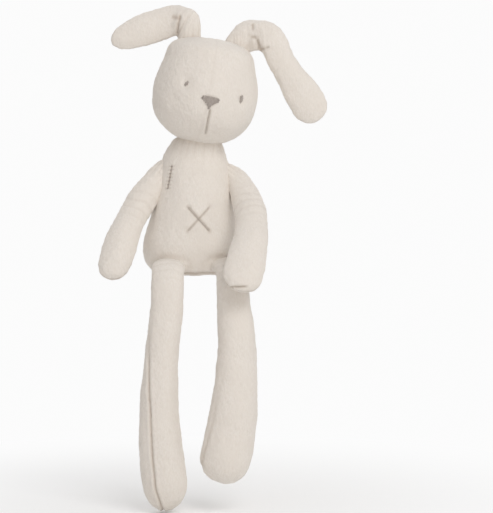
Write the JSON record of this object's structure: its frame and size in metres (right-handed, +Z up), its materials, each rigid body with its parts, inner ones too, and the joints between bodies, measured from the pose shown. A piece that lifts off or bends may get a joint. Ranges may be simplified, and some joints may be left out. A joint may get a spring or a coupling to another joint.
{
  "type": "stuffed bunny rabbit",
  "caption": "Long-legged, long-eared stuffed rabbit in pale pile cloth, sitting with its legs hanging over an edge; its head, ears, arms and legs move on sewn seams.",
  "frame": {"origin": "on the flat seat panel under the torso, at the place where the toy rests", "axes": "-Z out of the seat, +Z up to the ears, the face looks along -Y, +X is the toy's own left"},
  "size_m": [0.2001, 0.1286, 0.4355],
  "materials": {
    "pile_cloth": "short cream pile, matt with a soft sheen",
    "stuffing": "white polyester fibre",
    "embroidery_thread": "taupe satin-stitch thread",
    "seam_thread": "cream sewing thread",
    "label_tape": "plain white woven tape, blank"
  },
  "bodies": {
    "torso": {"torso_front_panel": "pile_cloth", "torso_back_panel": "pile_cloth", "seat_panel": "pile_cloth", "torso_stuffing": "stuffing", "tail_cover": "pile_cloth", "tail_stuffing": "stuffing", "belly_cross_stitch": "embroidery_thread", "right_shoulder_stitches": "embroidery_thread", "care_label": "label_tape"},
    "neck_seam": {"neck_thread": "seam_thread"},
    "head": {"head_left_panel": "pile_cloth", "head_right_panel": "pile_cloth", "head_stuffing": "stuffing", "nose_embroidery": "embroidery_thread", "mouth_stitch": "embroidery_thread", "right_eye_stitch": "embroidery_thread", "left_eye_stitch": "embroidery_thread"},
    "right_ear_root": {"right_ear_root_cover": "pile_cloth", "right_ear_root_wadding": "stuffing"},
    "right_ear_tip": {"right_ear_tip_front_panel": "pile_cloth", "right_ear_tip_back_panel": "pile_cloth", "right_ear_tip_wadding": "stuffing"},
    "right_shoulder_seam": {"right_shoulder_thread": "seam_thread"},
    "right_arm": {"right_arm_front_panel": "pile_cloth", "right_arm_back_panel": "pile_cloth", "right_arm_stuffing": "stuffing"},
    "right_thigh": {"right_thigh_cover": "pile_cloth", "right_thigh_stuffing": "stuffing"},
    "right_shin": {"right_shin_outer_panel": "pile_cloth", "right_shin_inner_panel": "pile_cloth", "right_shin_stuffing": "stuffing"},
    "left_ear_root": {"left_ear_root_cover": "pile_cloth", "left_ear_root_wadding": "stuffing"},
    "left_ear_tip": {"left_ear_tip_front_panel": "pile_cloth", "left_ear_tip_back_panel": "pile_cloth", "left_ear_tip_wadding": "stuffing"},
    "left_shoulder_seam": {"left_shoulder_thread": "seam_thread"},
    "left_arm": {"left_arm_front_panel": "pile_cloth", "left_arm_back_panel": "pile_cloth", "left_arm_stuffing": "stuffing"},
    "left_thigh": {"left_thigh_cover": "pile_cloth", "left_thigh_stuffing": "stuffing"},
    "left_shin": {"left_shin_outer_panel": "pile_cloth", "left_shin_inner_panel": "pile_cloth", "left_shin_stuffing": "stuffing"}
  },
  "joints": [
    {"name": "head_turn", "type": "hinge", "parent": "torso", "child": "neck_seam", "pos_m": [0.0045, 0.002, 0.1152], "axis": [0, 0, 1], "range_deg": [-45, 45]},
    {"name": "head_nod", "type": "hinge", "parent": "neck_seam", "child": "head", "pos_m": [0.0045, 0.002, 0.1152], "axis": [1, 0, 0], "range_deg": [-12, 15]},
    {"name": "right_ear_swing", "type": "hinge", "parent": "head", "child": "right_ear_root", "pos_m": [0.001, -0.005, 0.2073], "axis": [0, 1, 0], "range_deg": [-18, 18]},
    {"name": "right_ear_fold", "type": "hinge", "parent": "right_ear_root", "child": "right_ear_tip", "pos_m": [0.0032, -0.005, 0.2376], "axis": [0, 1, 0], "range_deg": [0, 70]},
    {"name": "left_ear_swing", "type": "hinge", "parent": "head", "child": "left_ear_root", "pos_m": [0.0389, -0.005, 0.2005], "axis": [0, -1, 0], "range_deg": [-10, 30]},
    {"name": "left_ear_fold", "type": "hinge", "parent": "left_ear_root", "child": "left_ear_tip", "pos_m": [0.0569, -0.005, 0.2258], "axis": [0, -1, 0], "range_deg": [0, 75]},
    {"name": "right_arm_swing", "type": "hinge", "parent": "torso", "child": "right_shoulder_seam", "pos_m": [-0.0308, 0, 0.09], "axis": [-1, 0, 0], "range_deg": [-20, 60]},
    {"name": "right_arm_raise", "type": "hinge", "parent": "right_shoulder_seam", "child": "right_arm", "pos_m": [-0.0308, 0, 0.09], "axis": [0, 1, 0], "range_deg": [0, 75]},
    {"name": "left_arm_swing", "type": "hinge", "parent": "torso", "child": "left_shoulder_seam", "pos_m": [0.0345, 0, 0.088], "axis": [-1, 0, 0], "range_deg": [0, 60]},
    {"name": "left_arm_raise", "type": "hinge", "parent": "left_shoulder_seam", "child": "left_arm", "pos_m": [0.0345, 0, 0.088], "axis": [0, -1, 0], "range_deg": [0, 75]},
    {"name": "right_hip_swing", "type": "hinge", "parent": "torso", "child": "right_thigh", "pos_m": [-0.018, -0.018, 0.0075], "axis": [0.9889, -0.1483, 0], "range_deg": [0, 60]},
    {"name": "right_knee_bend", "type": "hinge", "parent": "right_thigh", "child": "right_shin", "pos_m": [-0.021, -0.0435, 0.0135], "axis": [-1, 0, 0], "range_deg": [0, 80]},
    {"name": "left_hip_swing", "type": "hinge", "parent": "torso", "child": "left_thigh", "pos_m": [0.025, -0.017, 0.0075], "axis": [0.8771, 0.4803, 0], "range_deg": [0, 60]},
    {"name": "left_knee_bend", "type": "hinge", "parent": "left_thigh", "child": "left_shin", "pos_m": [0.0365, -0.0435, 0.0135], "axis": [-1, 0, 0], "range_deg": [0, 12]}
  ]
}
